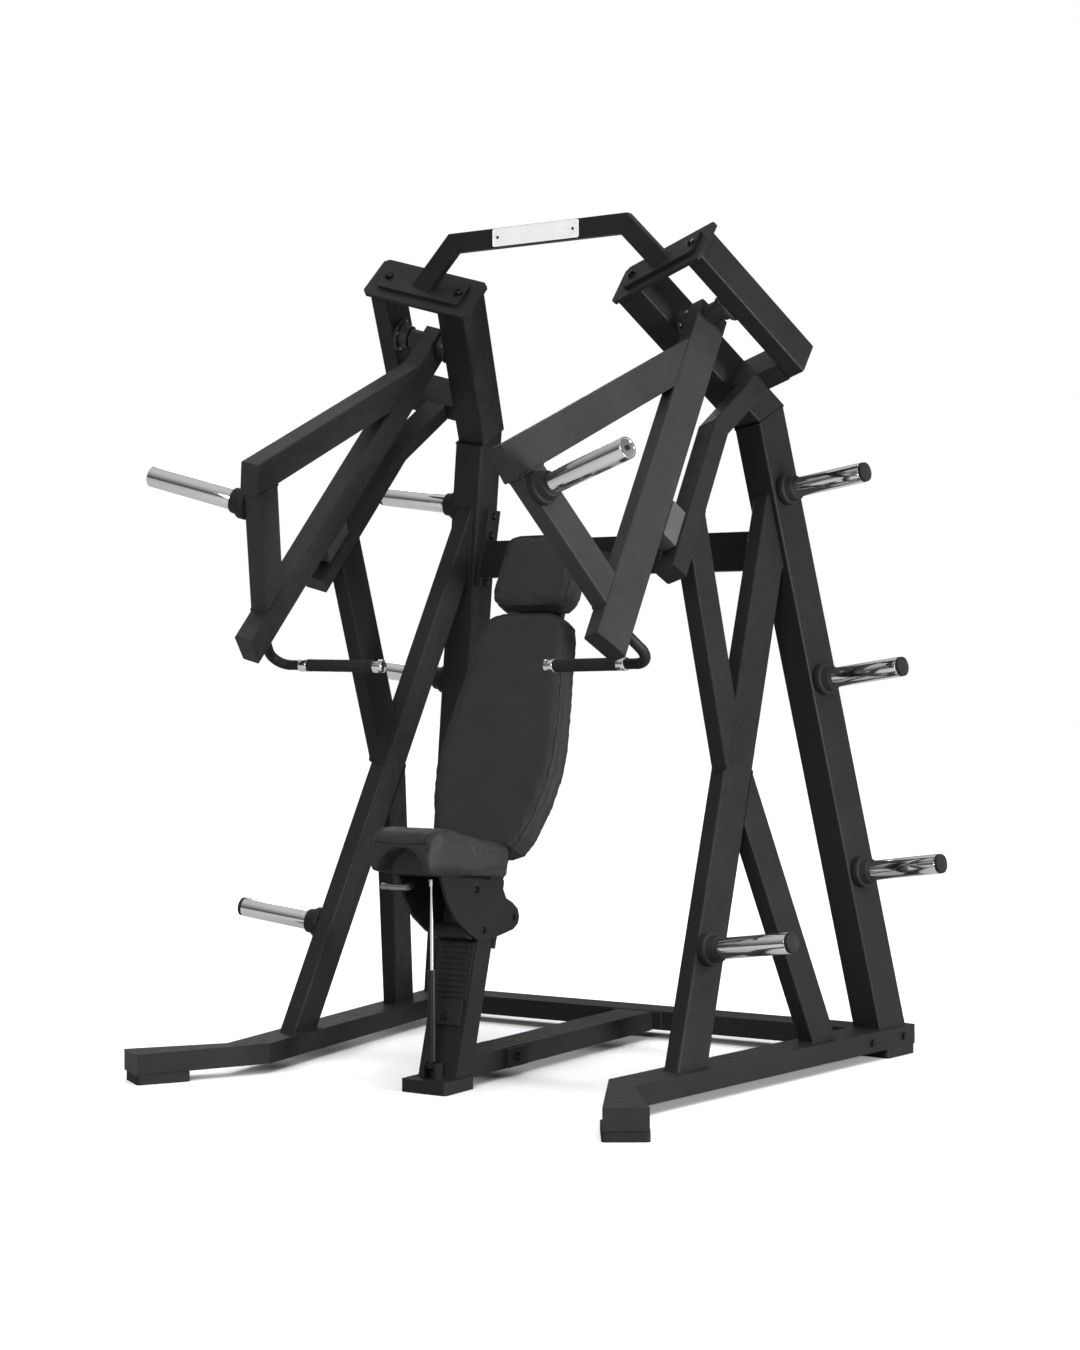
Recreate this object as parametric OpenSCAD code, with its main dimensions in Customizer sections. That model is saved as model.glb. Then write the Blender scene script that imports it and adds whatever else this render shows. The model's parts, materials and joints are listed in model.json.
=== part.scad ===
// Plate-loaded shoulder press machine with two independent press arms.
// Millimetres, +Z up, the user faces -Y, origin on the floor at the middle of the footprint.
// The machine is the same left and right of the plane x = 0.

/* [Base rails] */

// Width of each base rail, lying flat
rail_width = 100; // [80:1:120]

// Height of each base rail
rail_height = 50; // [40:1:60]

// Height of the rubber feet under the rails
foot_height = 24; // [15:1:30]

// Distance of the rail bend from the middle plane
rail_bend_x = 532.5; // [450:0.5:600]

// Position of the rail bend, front to back
rail_bend_y = -438; // [-500:1:-380]

// How far the long part of a rail splays out towards the back, in degrees
rail_splay = 7.8; // [0:0.1:12]

// How far the front part of a rail splays out, in degrees from straight ahead
tip_splay = 32.5; // [20:0.5:40]

// Length of the front part of a rail, from the bend
tip_length = 296; // [200:1:350]

// Length of the long part of a rail, from the bend to its back end
rail_length = 1156; // [1000:1:1300]

/* [Side frames] */

// How far each side frame leans in, in degrees
side_lean = 8; // [0:0.5:12]

// Width of the leg tubes
leg_width = 44; // [40:1:60]

// Depth of the leg tubes, front to back
leg_depth = 106; // [80:1:120]

// Width of the rear column
column_width = 80; // [60:1:100]

// Depth of the rear column
column_depth = 122; // [100:1:140]

// How far the rear column leans forward, in degrees
column_tip = 7.8; // [0:0.1:12]

// Height up the side frame at which the column turns into the yoke beam
column_bend = 1548; // [1400:1:1650]

/* [Yoke] */

// Turn of the yoke about the vertical, in degrees
yoke_turn = 25.6; // [0:0.1:40]

// Fall of the yoke beams towards the back, in degrees
yoke_fall = 39.7; // [20:0.1:60]

// Roll of the yoke about its beams, in degrees
yoke_roll = 20.9; // [0:0.1:30]

// Length of the outer yoke beam
outer_beam_length = 398; // [300:1:500]

// Depth of the outer yoke beam
outer_beam_depth = 100; // [80:1:120]

/* [Press arms] */

// Width of the arm tubes
arm_width = 46; // [40:1:60]

// Depth of the main arm tube
arm_depth = 95; // [80:1:110]

// Depth of the two brace tubes of the arm
brace_depth = 84; // [60:1:100]

// Diameter of the pivot shaft
pivot_d = 30; // [25:1:40]

/* [Horns] */

// Diameter of a plate horn, for 50 mm plate bores
horn_d = 50; // [48:0.5:50]

// Diameter of the collar at the foot of a horn
collar_d = 78; // [70:1:100]

// Length of a storage horn beyond its collar
storage_length = 205; // [150:1:300]

// Length of a loading horn beyond its collar
loading_length = 232; // [150:1:300]

/* [Seat and pads] */

// Width of the seat post
post_width = 108; // [80:1:130]

// How far the backrest leans back, in degrees
recline = 21.8; // [10:0.1:35]

// Thickness of the backrest and headrest pads
pad_thickness = 62; // [40:1:90]

/* [Handles] */

// Diameter of the handle tube
handle_d = 25; // [22:1:32]

// Diameter of the rubber grip
grip_d = 31; // [28:1:38]

// Bend radius of the handle tube
handle_bend = 42; // [35:1:60]

/* [Hidden] */

$fn = 48;
edge_r = 5;
rail_top = foot_height + rail_height;

// Sides of a press arm across the yoke, and the height and reach of its pivot, in the yoke frame.
arm_x = -6;
pivot_reach = 165;
pivot_height = 50;
bearing_bore = pivot_d + 0.1;
shaft_seat = pivot_d + 0.04;
arm_line = [[173.5, 75], [270, -990]];
arm_slope = atan2(arm_line[1][0] - arm_line[0][0], arm_line[0][1] - arm_line[1][1]);

// ---- frames of reference -------------------------------------------------

// Side frame: X out of the side, Y along the rail, Z up the leaning side, 0 at the rail top.
module side_frame() {
    translate([rail_bend_x, rail_bend_y, rail_top])
        rotate([0, 0, -rail_splay]) rotate([0, -side_lean, 0]) children();
}

// Yoke frame: X out across the beams, Y down along the beams, Z up and back.
module yoke_frame() {
    translate([363, 33, 1931])
        rotate([0, 0, -yoke_turn]) rotate([-yoke_fall, 0, 0]) rotate([0, -yoke_roll, 0]) children();
}

// Pad frame: X to the right, Y up the face of the backrest, Z out of its face, 0 at its lower edge.
module pad_frame() {
    translate([0, -229, 557]) rotate([90 - recline, 0, 0]) children();
}

module left() {
    mirror([1, 0, 0]) children();
}

module both_sides() {
    children();
    mirror([1, 0, 0]) children();
}

// ---- building blocks -----------------------------------------------------

// An outline whose right half is given, from bottom to top.
function mirrored(side) = concat(side, [for (i = [len(side) - 1:-1:0]) [-side[i][0], side[i][1]]]);

// Section of a box tube, its width along X and its depth along Y.
module section(w, d, r = edge_r) {
    polygon([
        for (q = [[1, 1, 0], [-1, 1, 90], [-1, -1, 180], [1, -1, 270]], a = [0:22.5:90])
            [q[0] * (w / 2 - r) + r * cos(q[2] + a), q[1] * (d / 2 - r) + r * sin(q[2] + a)]
    ]);
}

// Box tube along Z whose middle line runs from p to q in the local Y-Z plane.
module tube(p, q, w, d, before = 0, after = 0, r = edge_r) {
    v = q - p;
    translate([0, p[0], p[1]])
        rotate([-atan2(v[0], v[1]), 0, 0])
            translate([0, 0, -before])
                linear_extrude(norm(v) + before + after) section(w, d, r);
}

// Plain block over the same line, wide in X, to cut neighbours with.
module cutter(p, q, d, before = 200, after = 200) {
    v = q - p;
    translate([0, p[0], p[1]])
        rotate([-atan2(v[0], v[1]), 0, 0])
            translate([-200, -d / 2, -before]) cube([400, d, norm(v) + before + after]);
}

// Everything below the rail tops.
module below_rails() {
    translate([-1500, -1500, rail_top - 400]) cube([3000, 3000, 400]);
}

// Hexagon bolt head on a washer, standing on the plane z = 0, for a thread of diameter d.
module bolt_head(d) {
    cylinder(d = 2.3 * d, h = 2.5);
    translate([0, 0, 2.5]) cylinder(d = 1.9 * d, h = 0.6 * d, $fn = 6);
}

// Ring with a round hole right through it.
module ring(outer, inner, h) {
    difference() {
        cylinder(d = outer, h = h);
        translate([0, 0, -1]) cylinder(d = inner, h = h + 2);
    }
}

// ---- base ----------------------------------------------------------------

function turn(v, a) = [v[0] * cos(a) + v[1] * sin(a), -v[0] * sin(a) + v[1] * cos(a)];

bend = [rail_bend_x, rail_bend_y];
rail_back = bend + turn([0, rail_length], rail_splay);
rail_tip = bend + turn([0, -tip_length], -tip_splay);

module rail() {
    h = rail_width / 2;
    m = h * tan((rail_splay + tip_splay) / 2);
    translate([0, 0, foot_height]) linear_extrude(rail_height)
        polygon([
            rail_tip + turn([-h, 0], -tip_splay), rail_tip + turn([h, 0], -tip_splay),
            bend + turn([h, -m], rail_splay), rail_back + turn([h, 0], rail_splay),
            rail_back + turn([-h, 0], rail_splay), bend + turn([-h, m], rail_splay)
        ]);
}

module crossbeam() {
    difference() {
        translate([-700, 555, foot_height]) cube([1400, 100, rail_height]);
        both_sides() rail();
    }
}

module centre_rail() {
    difference() {
        union() {
            translate([-50, -345, foot_height]) cube([100, 888, rail_height]);
            for (s = [-1, 1]) translate([s * 55 - 5, -175, foot_height + 2]) cube([10, 88, 46]);
        }
        post_block();
        post_plate();
    }
    translate([-75, 543, foot_height + 2]) cube([150, 12, rail_height - 4]);
}

module rail_foot_pair() {
    translate([rail_tip[0], rail_tip[1], 0]) rotate([0, 0, tip_splay])
        translate([0, 66, 0]) linear_extrude(foot_height) section(104, 132, 8);
    translate([rail_back[0], rail_back[1], 0]) rotate([0, 0, -rail_splay])
        translate([0, -64, 0]) linear_extrude(foot_height) section(104, 128, 8);
}

// Caps on the open ends of one rail.
module rail_caps() {
    translate([rail_tip[0], rail_tip[1], foot_height]) rotate([0, 0, tip_splay])
        translate([-rail_width / 2, -4, 0]) cube([rail_width, 4, rail_height]);
    translate([rail_back[0], rail_back[1], foot_height]) rotate([0, 0, -rail_splay])
        translate([-rail_width / 2, 0, 0]) cube([rail_width, 4, rail_height]);
}

post_plate_t = 7;

module post_foot() {
    difference() {
        translate([0, -388, 0]) linear_extrude(foot_height + post_plate_t) section(128, 122, 8);
        post_plate();
        post_block();
        translate([-50.2, -345, foot_height]) cube([100.4, 100, 20]);
    }
}

module right_base_rail() { color("#38383a") rail(); }
module left_base_rail() { left() right_base_rail(); }
module base_crossbeam() { color("#38383a") crossbeam(); }
module base_centre_rail() { color("#38383a") centre_rail(); }
module rail_feet() { color("#1c1c1e") both_sides() rail_foot_pair(); }
module frame_end_caps() {
    color("#1c1c1e") both_sides() {
        rail_caps();
        outer_beam_cap();
        stop_bar_cap();
    }
}
module seat_post_foot() { color("#1c1c1e") post_foot(); }

// ---- side frames ---------------------------------------------------------

// Middle lines of the tubes: distance along the side, height up the side.
column_foot = [1070, 0];
column_dir = [-sin(column_tip), cos(column_tip)];
column_head = column_foot + 1700 * column_dir;
leg_a = [[240, 0], [865, 1346]];
leg_b = [[783, 0], [553, 700]];

// The plane in which the column meets the inner yoke beam.
module mitre_block(z) {
    side_frame() translate([0, 798, column_bend]) rotate([26, 0, 0])
        translate([-300, -400, z]) cube([600, 900, 600]);
}

module column() {
    difference() {
        side_frame() tube(column_foot, column_head, column_width, column_depth, 60);
        below_rails();
        mitre_block(0);
    }
}

module front_leg() {
    difference() {
        side_frame() tube(leg_a[0], leg_a[1], leg_width, leg_depth, 60, 60);
        below_rails();
        side_frame() cutter(column_foot, column_head, column_depth);
    }
}

module rear_leg() {
    difference() {
        side_frame() tube(leg_b[0], leg_b[1], leg_width, leg_depth - 10, 60);
        below_rails();
        side_frame() cutter(leg_a[0], leg_a[1], leg_depth);
    }
}

// Upper part of the crossed leg, from the front leg up to the stop bar.
module prop() {
    difference() {
        translate([512, 0, 0]) tube([120, 740], [-68, 1300], leg_width, leg_depth - 10, 0, 120);
        side_frame() cutter(leg_a[0], leg_a[1], leg_depth);
        yoke_frame() stop_block();
    }
}

module right_column() { color("#38383a") column(); }
module left_column() { left() right_column(); }
module right_front_leg() { color("#3a3a3c") front_leg(); }
module left_front_leg() { left() right_front_leg(); }
module right_rear_leg() { color("#3a3a3c") rear_leg(); }
module left_rear_leg() { left() right_rear_leg(); }
module right_prop() { color("#3a3a3c") prop(); }
module left_prop() { left() right_prop(); }

// ---- yoke ----------------------------------------------------------------

beam_inner_x = -101;
beam_outer_x = 115;

module inner_beam() {
    difference() {
        yoke_frame() translate([beam_inner_x, 0, 70]) rotate([-90, 0, 0])
            linear_extrude(640) section(80, 120);
        mitre_block(-600);
    }
}

module outer_beam() {
    yoke_frame() translate([beam_outer_x, 0, 67]) rotate([-90, 0, 0])
        linear_extrude(outer_beam_length) section(50, outer_beam_depth);
}

module outer_beam_cap() {
    yoke_frame() translate([beam_outer_x, outer_beam_length, 67]) rotate([-90, 0, 0])
        linear_extrude(4) section(50, outer_beam_depth);
}

module yoke_plate() {
    yoke_frame() rotate([90, 0, 0]) linear_extrude(10)
        polygon([[-152, 12], [-140, 0], [140, 0], [152, 12],
                 [152, 128], [140, 140], [-140, 140], [-152, 128]]);
}

// Bearing housings on the inside faces of the two beams, bored for the pivot shaft.
module bearings() {
    yoke_frame() translate([0, pivot_reach, pivot_height]) rotate([0, 90, 0]) {
        translate([0, 0, beam_inner_x + 40]) ring(84, bearing_bore, 8);
        translate([0, 0, beam_inner_x + 48]) ring(62, bearing_bore, 16);
        translate([0, 0, beam_outer_x - 33]) ring(84, bearing_bore, 8);
        translate([0, 0, beam_outer_x - 57]) ring(62, bearing_bore, 24);
    }
}

module right_inner_beam() { color("#38383a") inner_beam(); }
module left_inner_beam() { left() right_inner_beam(); }
module right_outer_beam() { color("#38383a") outer_beam(); }
module left_outer_beam() { left() right_outer_beam(); }
module yoke_plates() { color("#38383a") both_sides() yoke_plate(); }
module pivot_bearings() { color("#242426") both_sides() bearings(); }

// ---- stop bar ------------------------------------------------------------

stop_bend = [318, -215];
stop_line = [[380, 18], stop_bend, stop_bend + 460 * [sin(arm_slope), -cos(arm_slope)]];
stop_width = 62;
stop_depth = 50;

// Tie between the two yoke beams, at the foot of the outer one.
module yoke_tie() {
    translate([beam_inner_x + 40, 354, 18]) cube([beam_outer_x - beam_inner_x - 65, 52, 96]);
}

// One side of the plane in which the two lengths of the stop bar meet.
module stop_mitre(z) {
    translate([0, stop_bend[0], stop_bend[1]]) rotate([-6, 0, 0])
        translate([-100, -150, z]) cube([200, 300, 200]);
}

// The stop bar and everything on the arm's side of it.
module stop_block() {
    translate([arm_x, 0, 0]) {
        cutter(stop_line[0], stop_line[1], stop_depth, 0, 30);
        cutter(stop_line[1], stop_line[2], stop_depth, 30, 0);
        cutter(stop_line[1] - [100, 0], stop_line[2] - [100, 0], 200);
    }
}

module stop_bar() {
    yoke_frame() {
        yoke_tie();
        translate([arm_x, 0, 0]) {
            difference() {
                tube(stop_line[1], stop_line[0], stop_width, stop_depth, 60);
                stop_mitre(-200);
            }
            difference() {
                tube(stop_line[1], stop_line[2], stop_width, stop_depth, 60);
                stop_mitre(0);
            }
        }
    }
}

module stop_bar_cap() {
    yoke_frame() translate([arm_x, stop_line[2][0], stop_line[2][1]])
        rotate([180 + arm_slope, 0, 0]) linear_extrude(4) section(stop_width, stop_depth);
}

// Rubber block on the stop bar that the arm rests on.
module stop_bumper() {
    yoke_frame() translate([arm_x, 0, 0]) difference() {
        translate([-22, 240, -622]) cube([44, 120, 104]);
        cutter(arm_line[0] - [100, 0], arm_line[1] - [100, 0], arm_depth + 200.6);
        cutter(stop_line[1] + [100, 0], stop_line[2] + [100, 0], 200 + stop_depth);
    }
}

module right_stop_bar() { color("#38383a") stop_bar(); }
module left_stop_bar() { left() right_stop_bar(); }
module stop_bumpers() { color("#8c8c8a") both_sides() stop_bumper(); }

// ---- crown bar -----------------------------------------------------------

crown_y = 66;
crown_z = 2091;
crown_half = 256;
crown_slope = 46;

// One side of the plane in which the level and the sloping lengths of the crown bar meet.
module crown_mitre(x) {
    translate([crown_half, 0, crown_z]) rotate([0, crown_slope / 2, 0])
        translate([x, -300, -200]) cube([200, 600, 400]);
}

module crown_level() {
    difference() {
        translate([-crown_half - 40, crown_y, crown_z]) rotate([90, 0, 90])
            linear_extrude(2 * crown_half + 80) section(28, 50, 4);
        both_sides() crown_mitre(0);
    }
}

// Sloping length, down to the flange on the yoke plate.
module crown_leg() {
    difference() {
        translate([crown_half, crown_y, crown_z]) rotate([0, 90 + crown_slope, 0])
            translate([0, 0, -60]) linear_extrude(300) section(50, 28, 4);
        crown_mitre(-200);
        yoke_frame() translate([-300, -20, -300]) cube([600, 400, 700]);
    }
}

module crown_flange() {
    yoke_frame() translate([3, -10, 70]) rotate([90, 0, 0]) linear_extrude(10) section(236, 84, 10);
}

module crown_bar() {
    color("#38383a") {
        crown_level();
        both_sides() {
            crown_leg();
            crown_flange();
        }
    }
}

module name_plate() {
    color("#e8e8e8") translate([-128, crown_y - 16, 2068]) cube([256, 2, 46]);
}

// ---- upper cross-beam, spine and pads ------------------------------------

beam_back_y = 455;

module upper_crossbeam() {
    color("#38383a") difference() {
        union() {
            translate([-600, beam_back_y, 1246]) cube([1200, 56, 100]);
            both_sides() side_frame() translate([-52, 862, 1164]) cube([12, 76, 215]);
        }
        both_sides() side_frame() translate([-40, 500, 900]) cube([400, 700, 600]);
    }
}

spine_top = 865;

// Side outline of the strut from the seat post to the spine's upright: y, z.
strut_outline = [[-222, 425], [-180, 425], [-72, 620], [-118, 600], [-186, 482], [-205, 482]];

module spine() {
    color("#303032") {
        // backing plate and upright, parallel to the pads
        pad_frame() translate([-64, 30, -pad_thickness - 8]) cube([128, 765, 8]);
        pad_frame() translate([-30, 50, -pad_thickness - 68]) cube([60, spine_top - 50, 60]);
        // level arm back to the upper cross-beam
        translate([-30, 165, 1245]) cube([60, beam_back_y - 165, 55]);
        difference() {
            rotate([90, 0, 90]) translate([0, 0, -30]) linear_extrude(60) polygon(strut_outline);
            post_block();
        }
    }
}

// Right halves of the pads' outlines: half-width, height up the face.
backrest_side = [[76, -8], [110, 4], [134, 42], [161, 130], [173, 215], [170, 290], [155, 400],
                 [143, 475], [132, 562], [120, 600], [96, 620], [62, 627]];
headrest_side = [[94, 641], [112, 662], [117, 690], [108, 806], [98, 832], [66, 842]];

module pad(side) {
    pad_frame() translate([0, 0, -pad_thickness]) linear_extrude(pad_thickness)
        polygon(mirrored(side));
}

module backrest_pad() { color("#3c3c3e") pad(backrest_side); }
module headrest_pad() { color("#3c3c3e") pad(headrest_side); }

// ---- storage horns -------------------------------------------------------

// Horn places on the column and on the front leg: distance along the side, height up the side.
column_horns = [[870, 1380], [932, 893], [999, 398]];
leg_horn = [342, 262];

module at_horns() {
    side_frame() {
        for (p = column_horns) translate([column_width / 2, p[0], p[1]]) rotate([0, 90, 0]) children();
        translate([leg_width / 2, leg_horn[0], leg_horn[1]]) rotate([0, 90, 0]) children();
    }
}

collar_height = 42;
horn_cap_h = 10;

// Stepped rubber collar at the foot of a horn.
module horn_collar() {
    cylinder(d = collar_d, h = 20);
    translate([0, 0, 20]) cylinder(d1 = 66, d2 = 62, h = collar_height - 20);
}

module storage_horns() {
    color("#d0d0d2") both_sides() at_horns()
        translate([0, 0, collar_height]) cylinder(d = horn_d, h = storage_length - horn_cap_h);
}
module storage_horn_collars() {
    color("#1c1c1e") both_sides() at_horns() {
        horn_collar();
        translate([0, 0, collar_height + storage_length - horn_cap_h])
            cylinder(d = horn_d - 1, h = horn_cap_h);
    }
}

// ---- press arms ----------------------------------------------------------

top_line = [[180, -75], [-150, -800]];
front_line = [[-115, -780], [185, -863]];
loading_place = [-62, -815];

module at_pivot(x) {
    yoke_frame() translate([x, pivot_reach, pivot_height]) rotate([0, 90, 0]) children();
}

// Main tube of the arm, with spacer bosses each side of its pivot bore.
module arm_main() {
    difference() {
        union() {
            yoke_frame() translate([arm_x, 0, 0]) tube(arm_line[0], arm_line[1], arm_width, arm_depth);
            at_pivot(arm_x - arm_width / 2 - 6) cylinder(d = 50, h = arm_width + 44);
        }
        at_pivot(-200) cylinder(d = shaft_seat, h = 400);
    }
}

module arm_cap() {
    yoke_frame() translate([arm_x, arm_line[1][0], arm_line[1][1]])
        rotate([180 + arm_slope, 0, 0]) linear_extrude(4) section(arm_width, arm_depth);
}

module pivot_shaft() {
    at_pivot(beam_inner_x + 43) cylinder(d = pivot_d, h = beam_outer_x - beam_inner_x - 70);
}

module arm_top_brace() {
    yoke_frame() translate([arm_x, 0, 0]) difference() {
        tube(top_line[0], top_line[1], arm_width, brace_depth, 0, 20);
        cutter(arm_line[0], arm_line[1], arm_depth);
    }
}

module arm_front_brace() {
    yoke_frame() translate([arm_x, 0, 0]) difference() {
        tube(front_line[0], front_line[1], arm_width, brace_depth, 40, 60);
        cutter(arm_line[0], arm_line[1], arm_depth);
        cutter(top_line[0], top_line[1], brace_depth);
    }
}

module at_loading_horn() {
    yoke_frame() translate([arm_x + arm_width / 2, loading_place[0], loading_place[1]])
        rotate([0, 90, 0]) children();
}

// Handle frame: the tube starts along Y and bends inwards in the X-Y plane.
handle_run = 44;
grip_turn = 103.4;
grip_start = 52;
grip_length = 186;

module handle_frame() {
    yoke_frame() translate([arm_x, 315, -917]) rotate([0, 8.2, 0]) children();
}

module along_grip() {
    handle_frame() translate([-handle_bend, handle_run, 0])
        translate(handle_bend * [cos(grip_turn), sin(grip_turn), 0])
            rotate([0, 0, grip_turn]) rotate([-90, 0, 0]) children();
}

// The bend is a touch thicker than the straight tubes, which reach 1 mm into its ends.
module handle_tube() {
    difference() {
        handle_frame() translate([0, -12, 0]) rotate([-90, 0, 0])
            cylinder(d = handle_d, h = handle_run + 13);
        yoke_frame() translate([arm_x, 0, 0]) cutter(arm_line[0], arm_line[1], arm_depth);
    }
    handle_frame() translate([-handle_bend, handle_run, 0]) rotate_extrude(angle = grip_turn)
        translate([handle_bend, 0]) circle(d = handle_d + 0.6);
    along_grip() translate([0, 0, -1]) cylinder(d = handle_d, h = grip_start + grip_length + 25);
}

module right_arm() { color("#505052") arm_main(); }
module left_arm() { left() right_arm(); }
module right_arm_top_brace() { color("#505052") arm_top_brace(); }
module left_arm_top_brace() { left() right_arm_top_brace(); }
module right_arm_front_brace() { color("#505052") arm_front_brace(); }
module left_arm_front_brace() { left() right_arm_front_brace(); }
module right_arm_cap() { color("#1c1c1e") arm_cap(); }
module left_arm_cap() { left() right_arm_cap(); }
module right_pivot_shaft() { color("#8c8c90") pivot_shaft(); }
module left_pivot_shaft() { left() right_pivot_shaft(); }
module right_loading_horn() {
    color("#d0d0d2") at_loading_horn()
        translate([0, 0, collar_height]) cylinder(d = horn_d, h = loading_length);
}
module left_loading_horn() { left() right_loading_horn(); }
module right_loading_collar() { color("#1c1c1e") at_loading_horn() horn_collar(); }
module left_loading_collar() { left() right_loading_collar(); }
module right_handle() { color("#242426") handle_tube(); }
module left_handle() { left() right_handle(); }
module right_grip() {
    color("#1c1c1e") along_grip() translate([0, 0, grip_start]) ring(grip_d, handle_d, grip_length);
}
module left_grip() { left() right_grip(); }
module right_grip_collars() {
    color("#d0d0d2") along_grip() {
        translate([0, 0, grip_start - 24]) ring(grip_d + 1, handle_d, 24);
        translate([0, 0, grip_start + grip_length]) ring(grip_d + 1, handle_d, 24);
        translate([0, 0, grip_start + grip_length + 24]) cylinder(d = grip_d + 1, h = 4);
    }
}
module left_grip_collars() { left() right_grip_collars(); }

// ---- seat post -----------------------------------------------------------

post_lean = 16.3;
post_foot_at = [-393, 26];
post_depth = 67;
post_top = 511;

// Distance back from the front foot of the post, at height z.
function post_y(z) = post_foot_at[0] + (z - post_foot_at[1]) * tan(post_lean);

// Post frame: Y back from its front face, Z up along it.
module post_frame() {
    translate([0, post_foot_at[0], post_foot_at[1]]) rotate([-post_lean, 0, 0]) children();
}

module post_block() {
    rotate([90, 0, 90]) translate([0, 0, -post_width / 2]) linear_extrude(post_width)
        polygon([post_foot_at, post_foot_at + [post_depth, 0], [post_y(post_top) + post_depth, post_top],
                 [post_y(post_top) + 26, post_top], [post_y(468), 468]]);
}

module post_plate() {
    translate([-54, -440, foot_height]) cube([108, 104, post_plate_t]);
}

// Lower mount of the gas spring: two lugs on the foot plate, with a pin between them.
spring_foot = [0, -410, 58];
spring_pin_d = 8;

module spring_lugs() {
    for (s = [-1, 1]) translate([s * 17 - 3, spring_foot[1] - 14, foot_height]) cube([6, 28, 44]);
    translate([-20, spring_foot[1], spring_foot[2]]) rotate([0, 90, 0]) cylinder(d = spring_pin_d, h = 40);
}

module seat_post() {
    color("#38383a") {
        post_block();
        post_plate();
        spring_lugs();
    }
}

// Plastic guard on the front of the post, ribbed over its upper part.
module post_shield() {
    color("#2a2a2c") post_frame() {
        translate([-42, -7, 130]) cube([84, 7, 60]);
        translate([-50, -5, 190]) cube([100, 5, 140]);
        for (i = [0:9]) translate([-40, -9, 196 + 13.5 * i]) cube([80, 4, 7]);
    }
}

// ---- seat ----------------------------------------------------------------

// Height of the seat pad's underside at a distance y.
function seat_under(y) = 524 - 0.1 * (y + 532);

plate_x = 56;
plate_t = 8;
seat_plate_t = 6;

// Side outline of the carriage plates: y, z.
carriage_outline = [[-462, seat_under(-462) - seat_plate_t], [-438, 457], [-401, 407], [-352, 372],
                    [-305, 348], [-262, 346], [-182, 358], [-157, 362], [-136, 374], [-130, 390],
                    [-136, 410], [-160, 428], [-187, 440], [-200, 462],
                    [-196, seat_under(-196) - seat_plate_t]];

// Bar between the two carriage plates.
module cross_bar(y, z, d) {
    translate([-plate_x, y, z]) rotate([0, 90, 0]) cylinder(d = d, h = 2 * plate_x);
}

lever_pivot = [-446, 484];
lever_pin_d = 8;

module seat_carriage() {
    color("#303032") {
        for (x = [-plate_x - plate_t, plate_x]) translate([x, 0, 0]) rotate([90, 0, 90])
            linear_extrude(plate_t) polygon(carriage_outline);
        // plate that carries the seat pad
        rotate([90, 0, 90]) translate([0, 0, -plate_x - plate_t]) linear_extrude(2 * (plate_x + plate_t))
            polygon([[-462, seat_under(-462)], [-462, seat_under(-462) - seat_plate_t],
                     [-272, seat_under(-272) - seat_plate_t], [-272, seat_under(-272)]]);
        cross_bar(-331, 372, 36);
        cross_bar(-152, 391, 36);
        // glide that runs on the back of the post, and the latch bar in front of the rack
        post_frame() translate([-plate_x, post_depth * cos(post_lean) + 0.3, 330])
            cube([2 * plate_x, 14, 64]);
        post_frame() translate([-30, -26, 342]) cube([60, 16.5, 12]);
        // pin for the release lever
        translate([-plate_x, lever_pivot[0], lever_pivot[1]]) rotate([0, 90, 0])
            cylinder(d = lever_pin_d, h = 30);
    }
}

// Side outline of the seat pad: y, z. It leans back like the post and rolls over at the front.
seat_outline = [[-532, seat_under(-532)], [-262, seat_under(-262)], [-260, 502], [-243, 560], [-252, 570],
                [-330, 590], [-430, 616], [-490, 626], [-520, 618], [-538, 598], [-545, 560], [-541, 532]];

// Right half of the seat pad's outline seen from above: x, y.
seat_plan = [[70, -560], [86, -540], [92, -500], [112, -340], [119, -280], [118, -257], [108, -230]];

// Arch in the front of the seat pad's underside, for the hand that reaches the lever.
arch_r = 66;
arch_top = 582;

module seat_pad() {
    color("#3c3c3e") difference() {
        intersection() {
            rotate([90, 0, 90]) translate([0, 0, -160]) linear_extrude(320) polygon(seat_outline);
            translate([0, 0, 400]) linear_extrude(300) polygon(mirrored(seat_plan));
        }
        translate([0, -475, arch_top - arch_r]) rotate([90, 0, 0]) cylinder(r = arch_r, h = 100);
    }
}

module release_lever() {
    color("#6a6a6c") {
        translate([-64, -520, 490]) rotate([0, 90, 0]) cylinder(d = 14, h = 72);
        difference() {
            union() {
                translate([-42, -516, 481]) cube([8, 72, 10]);
                translate([-plate_x + 0.4, lever_pivot[0], lever_pivot[1]]) rotate([0, 90, 0])
                    cylinder(d = 16, h = 21.6);
            }
            translate([-60, lever_pivot[0], lever_pivot[1]]) rotate([0, 90, 0])
                cylinder(d = lever_pin_d + 0.1, h = 60);
        }
    }
}

rod_d = 8;
spring_d = 20;
spring_bore = 14;

module spring_cylinder() {
    color("#1c1c1e") translate([0, spring_foot[1], spring_foot[2]]) {
        translate([0, 0, 14]) difference() {
            cylinder(d = spring_d, h = 214);
            translate([0, 0, 8]) cylinder(d = spring_bore, h = 200);
            translate([0, 0, 100]) cylinder(d = rod_d + 0.1, h = 200);
        }
        difference() {
            union() {
                rotate([0, 90, 0]) translate([0, 0, -10]) cylinder(d = 18, h = 20);
                translate([-6, -6, 0]) cube([12, 12, 14]);
            }
            rotate([0, 90, 0]) translate([0, 0, -30]) cylinder(d = spring_pin_d + 0.1, h = 60);
        }
    }
}

// Piston rod; its head stops just under the seat plate.
module spring_rod() {
    color("#d0d0d2") translate([0, spring_foot[1], spring_foot[2]]) {
        translate([0, 0, 196]) cylinder(d = rod_d, h = 236);
        translate([0, 0, 196]) cylinder(d = spring_bore - 0.1, h = 12);
        translate([0, 0, 426]) cylinder(d = 18, h = 16);
    }
}

// ---- bolts ---------------------------------------------------------------

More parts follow.
